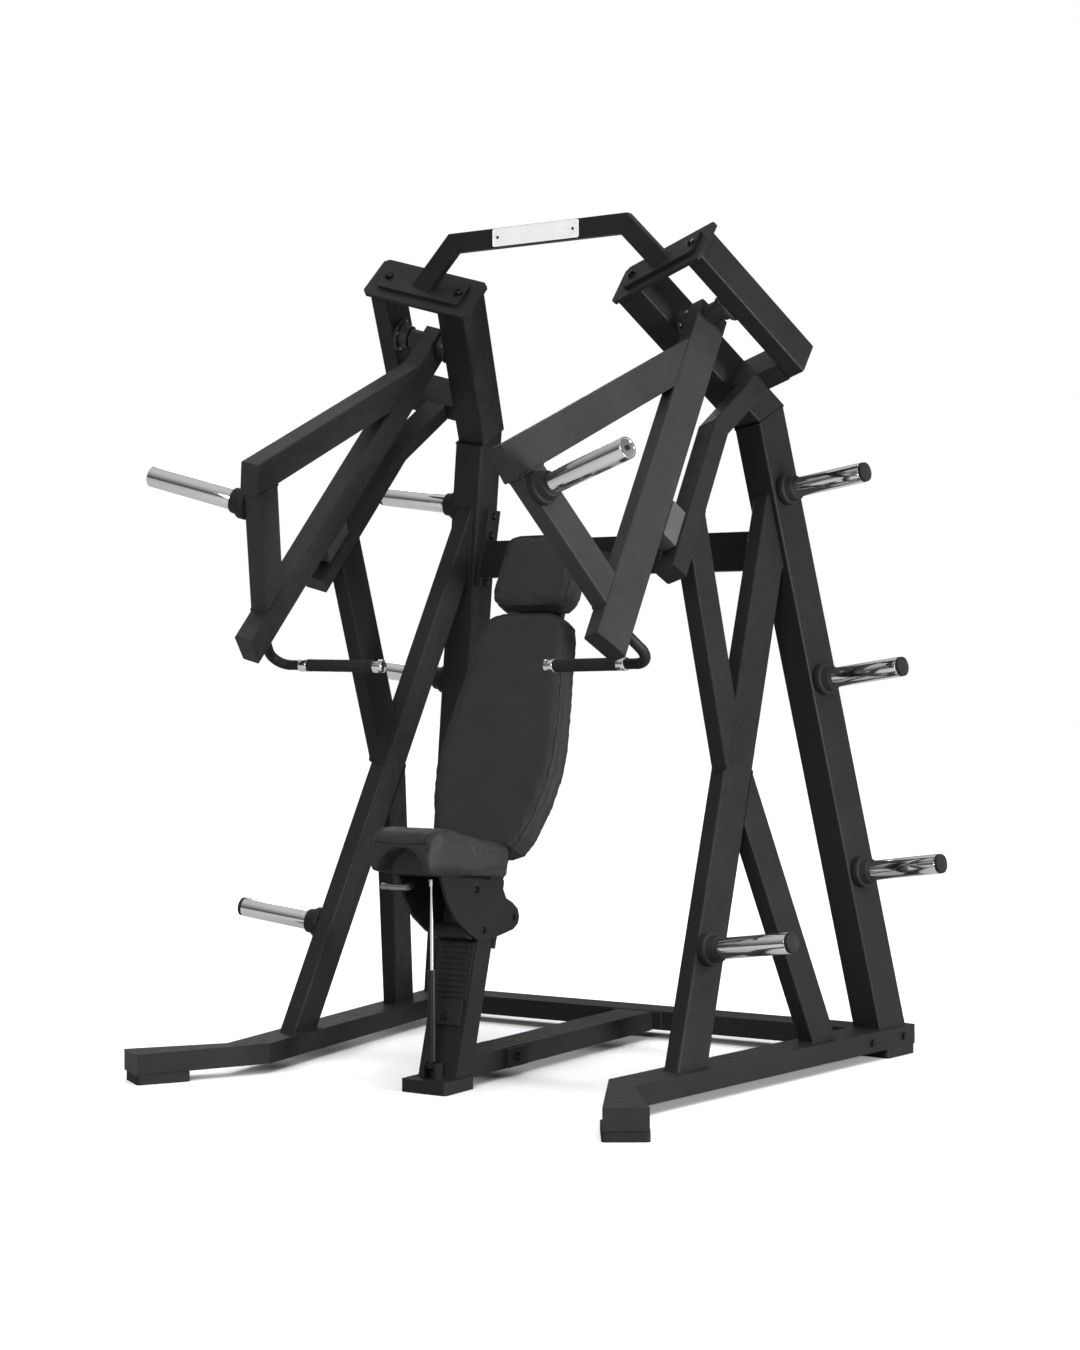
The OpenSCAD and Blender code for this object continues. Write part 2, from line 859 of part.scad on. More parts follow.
module side_bolts() {
    yoke_frame() for (x = [-98, 104]) translate([x, -20, 70]) rotate([90, 0, 0]) bolt_head(11);
    translate([rail_back[0], rail_back[1], 0]) rotate([0, 0, -rail_splay])
        for (y = [-200, -52]) translate([rail_width / 2, y, 49]) rotate([0, 90, 0]) bolt_head(9);
    side_frame() for (z = [1177, 1308, 1362]) translate([-52, 900, z]) rotate([0, -90, 0]) bolt_head(10);
    translate([60, -131, 49]) rotate([0, 90, 0]) bolt_head(10);
    translate([112, crown_y - 16, crown_z]) rotate([90, 0, 0]) cylinder(d = 8, h = 2);
}

module frame_bolts() {
    color("#1a1a1c") {
        both_sides() side_bolts();
        post_frame() translate([0, -7, 150]) rotate([90, 0, 0]) bolt_head(9);
    }
}

right_base_rail();
left_base_rail();
base_crossbeam();
base_centre_rail();
rail_feet();
seat_post_foot();
seat_post();
post_shield();
frame_end_caps();
right_column();
left_column();
right_front_leg();
left_front_leg();
right_rear_leg();
left_rear_leg();
right_prop();
left_prop();
right_inner_beam();
left_inner_beam();
right_outer_beam();
left_outer_beam();
yoke_plates();
right_stop_bar();
left_stop_bar();
stop_bumpers();
pivot_bearings();
crown_bar();
name_plate();
upper_crossbeam();
spine();
backrest_pad();
headrest_pad();
storage_horns();
storage_horn_collars();
frame_bolts();
right_arm();
left_arm();
right_arm_top_brace();
left_arm_top_brace();
right_arm_front_brace();
left_arm_front_brace();
right_arm_cap();
left_arm_cap();
right_pivot_shaft();
left_pivot_shaft();
right_loading_horn();
left_loading_horn();
right_loading_collar();
left_loading_collar();
right_handle();
left_handle();
right_grip();
left_grip();
right_grip_collars();
left_grip_collars();
seat_carriage();
seat_pad();
release_lever();
spring_cylinder();
spring_rod();
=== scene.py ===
# %% [markdown]
# # A plate-loaded press machine
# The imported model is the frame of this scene: its tubes, arms, pegs and pads
# already stand where they belong. Everything made below is looks: upholstery
# that swells, turned pegs, weld beads, bolts and the finishes on all of them.

# %% Load the frame
import json
import math

import bmesh
import bpy
import numpy as np
from mathutils import Matrix, Vector
from mathutils.bvhtree import BVHTree
from mathutils.kdtree import KDTree

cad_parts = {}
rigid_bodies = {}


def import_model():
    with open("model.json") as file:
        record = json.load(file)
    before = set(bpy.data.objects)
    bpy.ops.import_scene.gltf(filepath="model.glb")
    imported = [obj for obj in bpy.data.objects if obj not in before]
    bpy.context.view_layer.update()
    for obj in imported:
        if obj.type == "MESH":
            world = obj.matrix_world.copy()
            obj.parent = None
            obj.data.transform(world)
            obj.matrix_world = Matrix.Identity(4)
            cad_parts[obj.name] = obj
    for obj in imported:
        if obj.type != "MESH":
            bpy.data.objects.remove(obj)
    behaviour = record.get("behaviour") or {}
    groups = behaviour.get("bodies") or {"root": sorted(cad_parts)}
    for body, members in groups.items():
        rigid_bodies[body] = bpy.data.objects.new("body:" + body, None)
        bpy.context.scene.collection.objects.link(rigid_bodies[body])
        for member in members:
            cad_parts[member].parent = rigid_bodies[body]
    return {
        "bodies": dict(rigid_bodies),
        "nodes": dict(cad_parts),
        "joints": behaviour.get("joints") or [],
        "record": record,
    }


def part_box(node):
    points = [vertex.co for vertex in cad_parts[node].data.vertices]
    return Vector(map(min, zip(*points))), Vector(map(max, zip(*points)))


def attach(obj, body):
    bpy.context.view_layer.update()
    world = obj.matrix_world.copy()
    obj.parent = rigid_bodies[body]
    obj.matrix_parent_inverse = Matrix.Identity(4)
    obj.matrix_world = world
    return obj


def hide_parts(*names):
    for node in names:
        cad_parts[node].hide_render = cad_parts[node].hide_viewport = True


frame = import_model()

scene = bpy.context.scene
nodes = frame["nodes"]
kept = set(nodes.values()) | set(frame["bodies"].values())
for start_up_object in set(bpy.data.objects) - kept:
    bpy.data.objects.remove(start_up_object)
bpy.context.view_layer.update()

# %% [markdown]
# ## Camera and studio
# A long lens from the front right, just under eye height of a seated user,
# keeps the uprights nearly parallel. The studio is a pale floor lit from
# straight above by a very wide sun, so that it is white right to the horizon.
# One softbox stands level on the right, so the right half of the machine
# shades the left half and the right faces are lighter than the left ones.
# A weak fill stands in front and a weaker rim light behind. Sky and floor look
# white but give back less light than that, and the sky least of all near the
# horizon, so that chrome and satin paint have something dark to mirror.

# %% Camera
camera_data = bpy.data.cameras.new("camera")
camera = bpy.data.objects.new("camera", camera_data)
scene.collection.objects.link(camera)
scene.camera = camera
LONG_SIDE, SENSOR, FOCAL = 1350, 36.0, 2370.1
camera_data.sensor_width = SENSOR
camera_data.lens = SENSOR * FOCAL / LONG_SIDE
heading, dip, roll = (math.radians(v) for v in (32.477, 0.203, -0.183))
turned = (Matrix.Rotation(heading, 4, "Z") @ Matrix.Rotation(math.pi / 2 - dip, 4, "X")
          @ Matrix.Rotation(roll, 4, "Z"))
camera.matrix_world = Matrix.Translation((3.2118, -4.9781, 1.0)) @ turned
print("lens:", round(camera_data.lens, 1), "mm")

# %% Floor
scene.view_settings.view_transform = "Standard"
floor_mesh = bpy.data.meshes.new("floor")
HALF_FLOOR = 30.0
corners = [(-1, -1), (1, -1), (1, 1), (-1, 1)]
floor_mesh.from_pydata([(x * HALF_FLOOR, y * HALF_FLOOR, 0) for x, y in corners], [], [(0, 1, 2, 3)])
floor = bpy.data.objects.new("floor", floor_mesh)
scene.collection.objects.link(floor)
print("floor:", 2 * HALF_FLOOR, "m square")


# %% Lights
def softbox(name, place, aim, size, power):
    """A square area light at place, turned to face aim."""
    data = bpy.data.lights.new(name, "AREA")
    data.size, data.energy = size, power
    light = bpy.data.objects.new(name, data)
    light.location = place
    light.rotation_euler = (Vector(aim) - Vector(place)).to_track_quat("-Z", "Y").to_euler()
    scene.collection.objects.link(light)


MIDDLE_OF_MACHINE = (0, 0, 1.2)
softbox("key", place=(6.0, -0.3, 1.5), aim=MIDDLE_OF_MACHINE, size=1.1, power=430)
softbox("fill", place=(1.5, -6.0, 2.6), aim=MIDDLE_OF_MACHINE, size=2.6, power=170)
softbox("rim", place=(-3.0, 3.0, 3.0), aim=MIDDLE_OF_MACHINE, size=1.4, power=30)
SUN_POWER, SUN_SPREAD = 3.3, math.radians(70)
sun_data = bpy.data.lights.new("overhead", "SUN")
sun_data.energy, sun_data.angle = SUN_POWER, SUN_SPREAD
overhead = bpy.data.objects.new("overhead", sun_data)
overhead.visible_glossy = False
scene.collection.objects.link(overhead)
world = bpy.data.worlds.new("studio")
scene.world = world
world.use_nodes = True
sky = world.node_tree
background = sky.nodes["Background"]
background.inputs["Color"].default_value = (1, 1, 1, 1)
LOW_SKY, HIGH_SKY, SKY_SEEN = 0.07, 0.55, 1.0
ray = sky.nodes.new("ShaderNodeLightPath")
direction = sky.nodes.new("ShaderNodeTexCoord")
height = sky.nodes.new("ShaderNodeSeparateXYZ")
glow = sky.nodes.new("ShaderNodeMapRange")
glow.interpolation_type = "SMOOTHSTEP"
glow.inputs["To Min"].default_value = LOW_SKY
glow.inputs["To Max"].default_value = HIGH_SKY
strength = sky.nodes.new("ShaderNodeMix")
strength.inputs["B"].default_value = SKY_SEEN
sky.links.new(direction.outputs["Generated"], height.inputs["Vector"])
sky.links.new(height.outputs["Z"], glow.inputs["Value"])
sky.links.new(ray.outputs["Is Camera Ray"], strength.inputs["Factor"])
sky.links.new(glow.outputs["Result"], strength.inputs["A"])
sky.links.new(strength.outputs["Result"], background.inputs["Strength"])

# %% [markdown]
# ## Finishes
# Every finish is a small node tree on Object coordinates, which are metres
# here, so a grain of 1 mm needs a scale near 1000. Each one has three parts:
# a slow drift of tone, a change of gloss, and a fine relief in the bump.


# %% A small kit for node trees
def grey(v):
    """A grey as the four numbers of a colour socket."""
    return (v, v, v, 1.0)


class Tree:
    """A new material with its shader and the few nodes that every finish uses."""

    def __init__(self, name):
        self.material = bpy.data.materials.new(name)
        self.material.use_nodes = True
        self.tree = self.material.node_tree
        self.shader = self.tree.nodes["Principled BSDF"]
        self.place = self.add("ShaderNodeTexCoord").outputs["Object"]
        self.relief = None

    def add(self, kind, **settings):
        node = self.tree.nodes.new(kind)
        for key, value in settings.items():
            setattr(node, key, value)
        return node

    def link(self, a, b):
        self.tree.links.new(a, b)

    def stretched(self, scale):
        """Object coordinates stretched by scale, for brushed or drawn marks."""
        mapping = self.add("ShaderNodeMapping")
        mapping.inputs["Scale"].default_value = scale
        self.link(self.place, mapping.inputs["Vector"])
        return mapping.outputs["Vector"]

    def noise(self, scale, detail=3.0, place=None):
        node = self.add("ShaderNodeTexNoise")
        node.inputs["Scale"].default_value = scale
        node.inputs["Detail"].default_value = detail
        self.link(place or self.place, node.inputs["Vector"])
        return node.outputs["Fac"]

    def cells(self, scale):
        node = self.add("ShaderNodeTexVoronoi", feature="DISTANCE_TO_EDGE")
        node.inputs["Scale"].default_value = scale
        self.link(self.place, node.inputs["Vector"])
        return node.outputs["Distance"]

    def ranged(self, value, low, high, source=(0.3, 0.7)):
        """A value spread from the source range to low and high."""
        node = self.add("ShaderNodeMapRange")
        node.inputs["From Min"].default_value, node.inputs["From Max"].default_value = source
        node.inputs["To Min"].default_value, node.inputs["To Max"].default_value = low, high
        self.link(value, node.inputs["Value"])
        return node.outputs["Result"]

    def tone(self, value, dark, light):
        """The shader's colour, mixed from dark to light by a value."""
        node = self.add("ShaderNodeMix", data_type="RGBA")
        node.inputs["A"].default_value = grey(dark)
        node.inputs["B"].default_value = grey(light)
        self.link(value, node.inputs["Factor"])
        self.link(node.outputs["Result"], self.shader.inputs["Base Color"])

    def gloss(self, value, low, high):
        self.link(self.ranged(value, low, high), self.shader.inputs["Roughness"])

    def bump(self, value, depth, strength):
        """Relief of a depth in metres, on top of any relief before it."""
        node = self.add("ShaderNodeBump")
        node.inputs["Distance"].default_value = depth
        node.inputs["Strength"].default_value = strength
        self.link(value, node.inputs["Height"])
        if self.relief:
            self.link(self.relief, node.inputs["Normal"])
        self.relief = node.outputs["Normal"]
        self.link(self.relief, self.shader.inputs["Normal"])

    def constants(self, **values):
        """Numbers that are the same all over, set on the shader itself."""
        for key, value in values.items():
            self.shader.inputs[key.replace("_", " ")].default_value = value


# %% [markdown]
# Powder coat is sprayed as dust and melts into a skin with a faint orange
# peel. Two scales of noise make it: a millimetre ripple that breaks up the
# highlights, and a slow drift, because a coat is never even over a metre.


# %% Powder coat
def powder_coat(name, dark, light, specular):
    t = Tree(name)
    drift = t.noise(5.0, 4.0)
    speck = t.noise(1400.0, 1.0)
    mixed = t.add("ShaderNodeMath", operation="MULTIPLY_ADD")
    t.link(speck, mixed.inputs[0])
    mixed.inputs[1].default_value = 0.45
    t.link(t.ranged(drift, 0.0, 0.55), mixed.inputs[2])
    t.tone(mixed.outputs["Value"], dark, light)
    t.gloss(t.noise(38.0, 3.0), 0.36, 0.52)
    t.bump(t.noise(620.0, 2.0), 0.00022, 0.5)
    t.constants(Specular_IOR_Level=specular)
    return t.material


# %% Steel, chrome and iron
def chrome():
    t = Tree("chrome")
    t.tone(t.noise(9.0, 2.0), 0.86, 0.95)
    t.gloss(t.noise(210.0, 6.0), 0.05, 0.12)
    t.bump(t.noise(420.0, 3.0, t.stretched((1.0, 1.0, 0.12))), 0.00002, 0.3)
    t.constants(Metallic=1.0)
    return t.material


def turned_steel(name, dark, light, rough):
    t = Tree(name)
    lines = t.noise(900.0, 4.0, t.stretched((1.0, 0.05, 0.05)))
    t.tone(lines, dark, light)
    t.gloss(t.noise(160.0, 5.0), rough, rough + 0.16)
    t.bump(lines, 0.00004, 0.5)
    t.constants(Metallic=1.0)
    return t.material


def cast_iron():
    t = Tree("cast_iron")
    t.tone(t.noise(60.0, 4.0), 0.012, 0.03)
    t.gloss(t.noise(90.0, 4.0), 0.45, 0.65)
    t.bump(t.noise(330.0, 5.0), 0.0004, 0.6)
    t.constants(Specular_IOR_Level=0.4)
    return t.material


# %% Rubber and plastic
def moulded(name, dark, light, rough, grain, depth, specular):
    """Rubber or plastic from a textured mould: fine pits and a chalky bloom."""
    t = Tree(name)
    t.tone(t.noise(22.0, 5.0), dark, light)
    t.gloss(t.noise(130.0, 3.0), rough - 0.08, rough + 0.08)
    t.bump(t.noise(grain, 2.0), depth, 0.7)
    t.bump(t.cells(grain * 0.8), depth * 0.6, 0.4)
    t.constants(Specular_IOR_Level=specular)
    return t.material


# %% [markdown]
# The upholstery is vinyl with an embossed leather grain: irregular pebbles
# about a millimetre across with fine creases between them. Cells give the
# pebbles, a second finer set the pores, and a slow noise the stretch marks.


# %% Vinyl
def vinyl():
    t = Tree("vinyl")
    pebbles = t.cells(780.0)
    t.tone(t.noise(14.0, 5.0), 0.019, 0.028)
    t.gloss(t.noise(55.0, 4.0), 0.45, 0.62)
    t.bump(t.noise(30.0, 3.0), 0.0006, 0.15)
    t.bump(t.ranged(pebbles, 0.0, 1.0, (0.0, 0.22)), 0.00022, 0.55)
    t.bump(t.cells(2100.0), 0.00006, 0.4)
    t.constants(Specular_IOR_Level=0.2, Sheen_Weight=0.03, Sheen_Roughness=0.4)
    return t.material


def pale_floor():
    """Nearly white to look at, but a mid grey to the light that bounces off it."""
    t = Tree("pale_floor")
    t.tone(t.add("ShaderNodeLightPath").outputs["Is Camera Ray"], 0.3, 0.9)
    t.gloss(t.noise(3.0, 2.0), 0.55, 0.65)
    t.constants(Specular_IOR_Level=0.2)
    return t.material


finishes = {
    "frame_coat": powder_coat("frame_coat", 0.012, 0.0195, 0.13),
    "arm_coat": powder_coat("arm_coat", 0.021, 0.034, 0.18),
    "black_steel": turned_steel("black_steel", 0.03, 0.055, 0.3),
    "machined_steel": turned_steel("machined_steel", 0.26, 0.42, 0.25),
    "chrome_plate": chrome(),
    "bearing_iron": cast_iron(),
    "black_rubber": moulded("black_rubber", 0.008, 0.017, 0.66, 900.0, 0.00018, 0.25),
    "grey_rubber": moulded("grey_rubber", 0.05, 0.075, 0.7, 700.0, 0.0002, 0.3),
    "black_plastic": moulded("black_plastic", 0.008, 0.015, 0.5, 1500.0, 0.0001, 0.35),
    "plate_white": moulded("plate_white", 0.84, 0.92, 0.32, 500.0, 0.00001, 0.4),
    "vinyl": vinyl(),
}
thread = moulded("thread", 0.03, 0.05, 0.6, 3000.0, 0.00005, 0.3)
floor_mesh.materials.append(pale_floor())
print("finishes:", ", ".join(finishes))

# %% Give each node of the frame its finish
slot_of = {s["node"]: s["material_slot"] for s in frame["record"]["subparts"]}
for name, node in nodes.items():
    node.data.materials.clear()
    node.data.materials.append(finishes[slot_of[name]])
print("nodes finished:", len(slot_of))


# %% [markdown]
# ## Helpers for pieces
# A finished piece has its place in its mesh and its object at the origin, so
# that textures on Object coordinates lie the same way on all of them.


# %% Adding a piece
def add_piece(name, mesh, material, body, replaces=()):
    """Links a mesh as a piece, gives it a finish and lets it ride on a body."""
    piece = bpy.data.objects.new(name, mesh)
    scene.collection.objects.link(piece)
    if material:
        mesh.materials.clear()
        mesh.materials.append(material)
    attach(piece, body)
    if replaces:
        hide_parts(*replaces)
    return piece


def frozen(obj, name):
    """The evaluated mesh of obj as a new plain mesh; obj is removed."""
    depsgraph = bpy.context.evaluated_depsgraph_get()
    mesh = bpy.data.meshes.new_from_object(obj.evaluated_get(depsgraph), depsgraph=depsgraph)
    mesh.name = name
    bpy.data.objects.remove(obj)
    return mesh


def merged(node):
    """A welded copy of a frame node as a bmesh, with its flat faces whole."""
    bm = bmesh.new()
    bm.from_mesh(nodes[node].data)
    bmesh.ops.remove_doubles(bm, verts=bm.verts, dist=1e-5)
    return bm


def islands(node):
    """The separate solids of a node, each as an array of its corners."""
    bm = merged(node)
    left, found = set(bm.verts), []
    while left:
        stack, group = [left.pop()], []
        while stack:
            v = stack.pop()
            group.append(tuple(v.co))
            for w in (e.other_vert(v) for e in v.link_edges):
                if w in left:
                    left.discard(w)
                    stack.append(w)
        found.append(np.array(group))
    bm.free()
    return found


# %% [markdown]
# ## Turned pieces
# Pegs, collars, grips and caps are all turned on one axis, so one lathe makes
# them. It spins a profile of (distance along, radius) pairs and closes the
# ends on the axis. A small chamfer on each corner is what catches the light.


# %% A lathe
TURNS = 64


def spin(bm, profile, place, axis):
    """Spins a profile round an axis that starts at place, into bm."""
    frame_of = Vector(axis).normalized().to_track_quat("Z", "Y").to_matrix()
    rings = []
    for along, radius in profile:
        if radius == 0:
            rings.append([bm.verts.new(Vector(place) + frame_of @ Vector((0, 0, along)))])
            continue
        ring = []
        for k in range(TURNS):
            a = 2 * math.pi * k / TURNS
            point = Vector((radius * math.cos(a), radius * math.sin(a), along))
            ring.append(bm.verts.new(Vector(place) + frame_of @ point))
        rings.append(ring)
    for low, high in zip(rings, rings[1:]):
        for k in range(TURNS):
            m = (k + 1) % TURNS
            quad = [low[k % len(low)], low[m % len(low)], high[m % len(high)], high[k % len(high)]]
            bm.faces.new(list(dict.fromkeys(quad)))


def eased(profile, chamfer=0.0012):
    """The profile with every corner off the axis cut back to a small chamfer."""
    points = [Vector(p) for p in profile]
    out = [points[0]]
    for before, here, after in zip(points, points[1:], points[2:]):
        if here.y == 0:
            out.append(here)
            continue
        cut_in = min(chamfer, (before - here).length * 0.45)
        cut_out = min(chamfer, (after - here).length * 0.45)
        to_before, to_after = (before - here).normalized(), (after - here).normalized()
        out.append(here + to_before * cut_in)
        out.append(here + (to_before + to_after) * (min(cut_in, cut_out) * 0.3))
        out.append(here + to_after * cut_out)
    out.append(points[-1])
    return [tuple(p) for p in out]


def turned_piece(name, shapes, slot, body, replaces=()):
    """One piece from several spun profiles, smooth but for its sharp edges."""
    bm = bmesh.new()
    for profile, place, axis in shapes:
        spin(bm, profile, place, axis)
    bmesh.ops.recalc_face_normals(bm, faces=bm.faces)
    mesh = bpy.data.meshes.new(name)
    bm.to_mesh(mesh)
    bm.free()
    mesh.polygons.foreach_set("use_smooth", [True] * len(mesh.polygons))
    mesh.set_sharp_from_angle(angle=math.radians(50))
    return add_piece(name, mesh, finishes[slot], body, replaces)


# %% [markdown]
# The plate pegs are chrome tube, welded to the frame through a stepped rubber
# collar that plates stop against. A storage peg ends in a pressed-in plastic
# cap, and a loading peg in a steel disc with a socket screw. The record's
# mounts say where each peg is, which way it points and how long it is.

# %% Pegs and collars
PEG_R, COLLAR_R, NECK_R = 0.025, 0.039, 0.031
FLANGE_T, COLLAR_T, CAP_T = 0.020, 0.042, 0.010
mounts = {m["name"]: m for m in frame["record"]["mounts"]}


def peg_start(mount):
    """Where a peg leaves its collar, its direction and its length."""
    axis = Vector(mount["axis"])
    length = mount["dims"]["length_mm"] / 1000
    return Vector(mount["pos_m"]) - axis * length / 2, axis, length


def peg_profile(length):
    """A storage peg, whose end goes under its cap."""
    return eased([(0, 0), (0, PEG_R), (length, PEG_R), (length, 0)], 0.0006)


def loading_peg_profile(length):
    """A loading peg, with a rounded rim and a recessed disc in its end."""
    rim, disc = PEG_R - 0.004, length - 0.0015
    end = [(length, PEG_R), (length, rim), (disc, rim - 0.0005), (disc, 0)]
    return eased([(0, 0), (0, PEG_R)] + end, 0.0012)


def collar_profile():
    outer = [(-COLLAR_T, 0), (-COLLAR_T, COLLAR_R), (FLANGE_T - COLLAR_T, COLLAR_R),
             (FLANGE_T - COLLAR_T, NECK_R + 0.0015), (-0.0005, NECK_R), (-0.0005, 0)]
    return eased(outer, 0.0028)


def cap_profile(length):
    rim, top, dish = PEG_R - 0.0002, length + CAP_T, 0.002
    return eased([(length, 0), (length, rim), (top, rim - 0.001), (top, rim - 0.006),
                  (top - dish, rim - 0.008), (top - dish, 0)], 0.0014)


def screw_profile(length):
    head, socket = 0.0062, 0.003
    top = length + 0.0012
    return eased([(length - 0.002, 0), (length - 0.002, head), (top, head), (top, socket),
                  (top - 0.002, socket), (top - 0.002, 0)], 0.0005)


storage = [peg_start(m) for n, m in mounts.items() if "storage" in n]
turned_piece("storage_pegs", [(peg_profile(n), p, a) for p, a, n in storage],
             "chrome_plate", "frame", ["storage_horns"])
turned_piece("storage_peg_collars",
             [(collar_profile(), p, a) for p, a, n in storage]
             + [(cap_profile(n), p, a) for p, a, n in storage],
             "black_rubber", "frame", ["storage_horn_collars"])
for side in ("right", "left"):
    body = f"{side}_press_arm"
    place, axis, length = peg_start(mounts[f"{side}_loading_pin"])
    turned_piece(f"{side}_loading_peg", [(loading_peg_profile(length), place, axis)],
                 "chrome_plate", body, [f"{side}_loading_horn"])
    turned_piece(f"{side}_loading_screw", [(screw_profile(length), place, axis)], "black_steel", body)
    turned_piece(f"{side}_loading_peg_collar", [(collar_profile(), place, axis)],
                 "black_rubber", body, [f"{side}_loading_collar"])
print("pegs:", len(storage) + 2)


# %% [markdown]
# A grip is a rubber sleeve pushed over the handle between two chrome collars.
# Its place is read from the frame's own sleeve: the middle of its points, and
# the direction in which they spread the most. Fine rings round the sleeve
# stop a sweaty hand from sliding.


# %% Grips
def long_axis(points):
    """The middle of a round solid's points, its axis and its half length."""
    middle = points.mean(axis=0)
    axis = np.linalg.svd(points - middle, full_matrices=False)[2][0]
    along = (points - middle) @ axis
    return Vector(middle + axis * (along.max() + along.min()) / 2), Vector(axis), np.ptp(along) / 2


def radius_about(points, middle, axis):
    away = points - np.array(middle)
    return np.linalg.norm(away - np.outer(away @ np.array(axis), np.array(axis)), axis=1).max()


def grip_profile(half, radius, bore):
    """A sleeve with a raised bead at each end and rings between."""
    ring_pitch, ring_cut, ring_half, bead = 0.0075, 0.0006, 0.0026, 0.009
    shoulder = radius - 0.0001
    points = [(-half, bore), (-half, radius), (-half + bead, radius)]
    run = 2 * half - 2 * bead
    count = int(run / ring_pitch)
    for k in range(count):
        groove = -half + bead + (k + 0.5) * run / count
        points += [(groove - ring_half, shoulder), (groove, radius - ring_cut),
                   (groove + ring_half, shoulder)]
    return eased(points + [(half - bead, radius), (half, radius), (half, bore)], 0.0012)


def ring_profile(low, high, radius, bore):
    return eased([(low, bore), (low, radius), (high, radius), (high, bore)], 0.0016)


def end_profile(low, high, radius):
    return eased([(low, 0), (low, radius), (high, radius), (high, 0)], 0.0022)


for side in ("right", "left"):
    sleeve = islands(f"{side}_grip")[0]
    middle, axis, half = long_axis(sleeve)
    if axis.x * middle.x > 0:
        axis = -axis  # towards the free end, at the middle of the machine
    radius = radius_about(sleeve, middle, axis)
    bore, body, gap = radius - 0.004, f"{side}_press_arm", 0.0004
    turned_piece(f"{side}_grip_sleeve", [(grip_profile(half, radius, bore), middle, axis)],
                 "black_rubber", body, [f"{side}_grip"])
    collar_length, collar_radius = 0.024, radius + 0.0005
    tip = half + collar_length + 0.004
    turned_piece(f"{side}_grip_rings",
                 [(ring_profile(-half - collar_length, -half - gap, collar_radius, bore), middle, axis),
                  (end_profile(half + gap, tip, collar_radius), middle, axis)],
                 "chrome_plate", body, [f"{side}_grip_collars"])
print("grip:", round(half * 2000), "mm long,", round(radius * 2000, 1), "mm thick")

# %% [markdown]
# ## Upholstery
# Each pad is foam under vinyl, so it starts from the frame's plain solid and is
# blown up by Blender's cloth solver with a little pressure and no gravity. The
# back stays pinned, because a board holds it flat. A cap on how far a point
# may move keeps the pad in its own space. The seam comes after: remeshing
# would have wiped out anything finer than its voxels.


# %% Blow up a pad
VOXEL, PRESSURE, LAST_STEP, BOARD_DEPTH = 0.005, 4.0, 20, 0.012


def puffed(node, name, board, shrink, rounding, cap):
    """A cushion mesh from a frame node. board points at its flat back."""
    bm = merged(node)
    mesh = bpy.data.meshes.new(name)
    bm.to_mesh(mesh)
    bm.free()
    pad = bpy.data.objects.new(name, mesh)
    scene.collection.objects.link(pad)
    remesh = pad.modifiers.new("remesh", "REMESH")
    remesh.mode, remesh.voxel_size = "VOXEL", VOXEL
    mesh = frozen(pad, name)

    bm = bmesh.new()
    bm.from_mesh(mesh)
    for _ in range(rounding):
        bmesh.ops.smooth_vert(bm, verts=bm.verts, factor=0.5,
                              use_axis_x=True, use_axis_y=True, use_axis_z=True)
    bm.normal_update()
    for v in bm.verts:
        v.co -= v.normal * shrink
    bm.to_mesh(mesh)
    bm.free()

    start = np.array([v.co for v in mesh.vertices])
    pad = bpy.data.objects.new(name, mesh)
    scene.collection.objects.link(pad)
    depth = start @ np.array(board)
    held = pad.vertex_groups.new(name="board")
    on_board = np.nonzero(depth > depth.max() - BOARD_DEPTH)[0]
    held.add([int(i) for i in on_board], 1.0, "REPLACE")
    cloth = pad.modifiers.new("foam", "CLOTH")
    cloth.settings.quality = 6
    cloth.settings.use_pressure = True
    cloth.settings.uniform_pressure_force = PRESSURE
    cloth.settings.tension_stiffness = cloth.settings.compression_stiffness = 40
    cloth.settings.bending_stiffness = 4
    cloth.settings.vertex_group_mass = "board"
    cloth.settings.effector_weights.gravity = 0
    cloth.point_cache.frame_end = LAST_STEP
    for step in range(1, LAST_STEP + 1):
        scene.frame_set(step)
    depsgraph = bpy.context.evaluated_depsgraph_get()
    blown = pad.evaluated_get(depsgraph)
    end = np.array([v.co for v in blown.data.vertices])
    pad.modifiers.clear()
    scene.frame_set(1)
    move = end - start
    far = np.linalg.norm(move, axis=1, keepdims=True)
    end = start + move * np.minimum(1, cap / np.maximum(far, 1e-9))
    mesh.vertices.foreach_set("co", end.ravel())
    bpy.data.objects.remove(pad)
    print(name, "points:", len(start), "largest swell:", round(float(min(far.max(), cap)) * 1000, 1), "mm")
    return mesh


# %% [markdown]
# The face panel is sewn to the side band a few millimetres in from the edge.
# The seam's route is the outline of the face, rounded and drawn in, and dropped
# on the swollen surface. Points near it sink a little, a thin welt follows it,
# and a row of stitches runs beside it.


# %% Seam routes
def rounded_loop(points):
    """Corner cutting: each of three passes turns a corner into two softer ones."""
    for _ in range(3):
        ring = zip(points, points[1:] + points[:1])
        points = [p for a, b in ring for p in (a.lerp(b, 0.25), a.lerp(b, 0.75))]
    return points


def drawn_in(points, normal, distance):
    """A closed loop moved towards its inside by a distance."""
    middle = sum(points, Vector()) / len(points)
    out = []
    for before, here, after in zip(points[-1:] + points[:-1], points, points[1:] + points[:1]):
        side = (after - before).cross(normal).normalized()
        if side.dot(middle - here) < 0:
            side = -side
        out.append(here + side * distance)
    return out


def dropped(points, surface, normal):
    """The points moved along the normal onto a surface."""
    out = []
    for p in points:
        hit = surface.ray_cast(p + normal * 0.15, -normal)[0]
        if hit:
            out.append(hit)
    return out


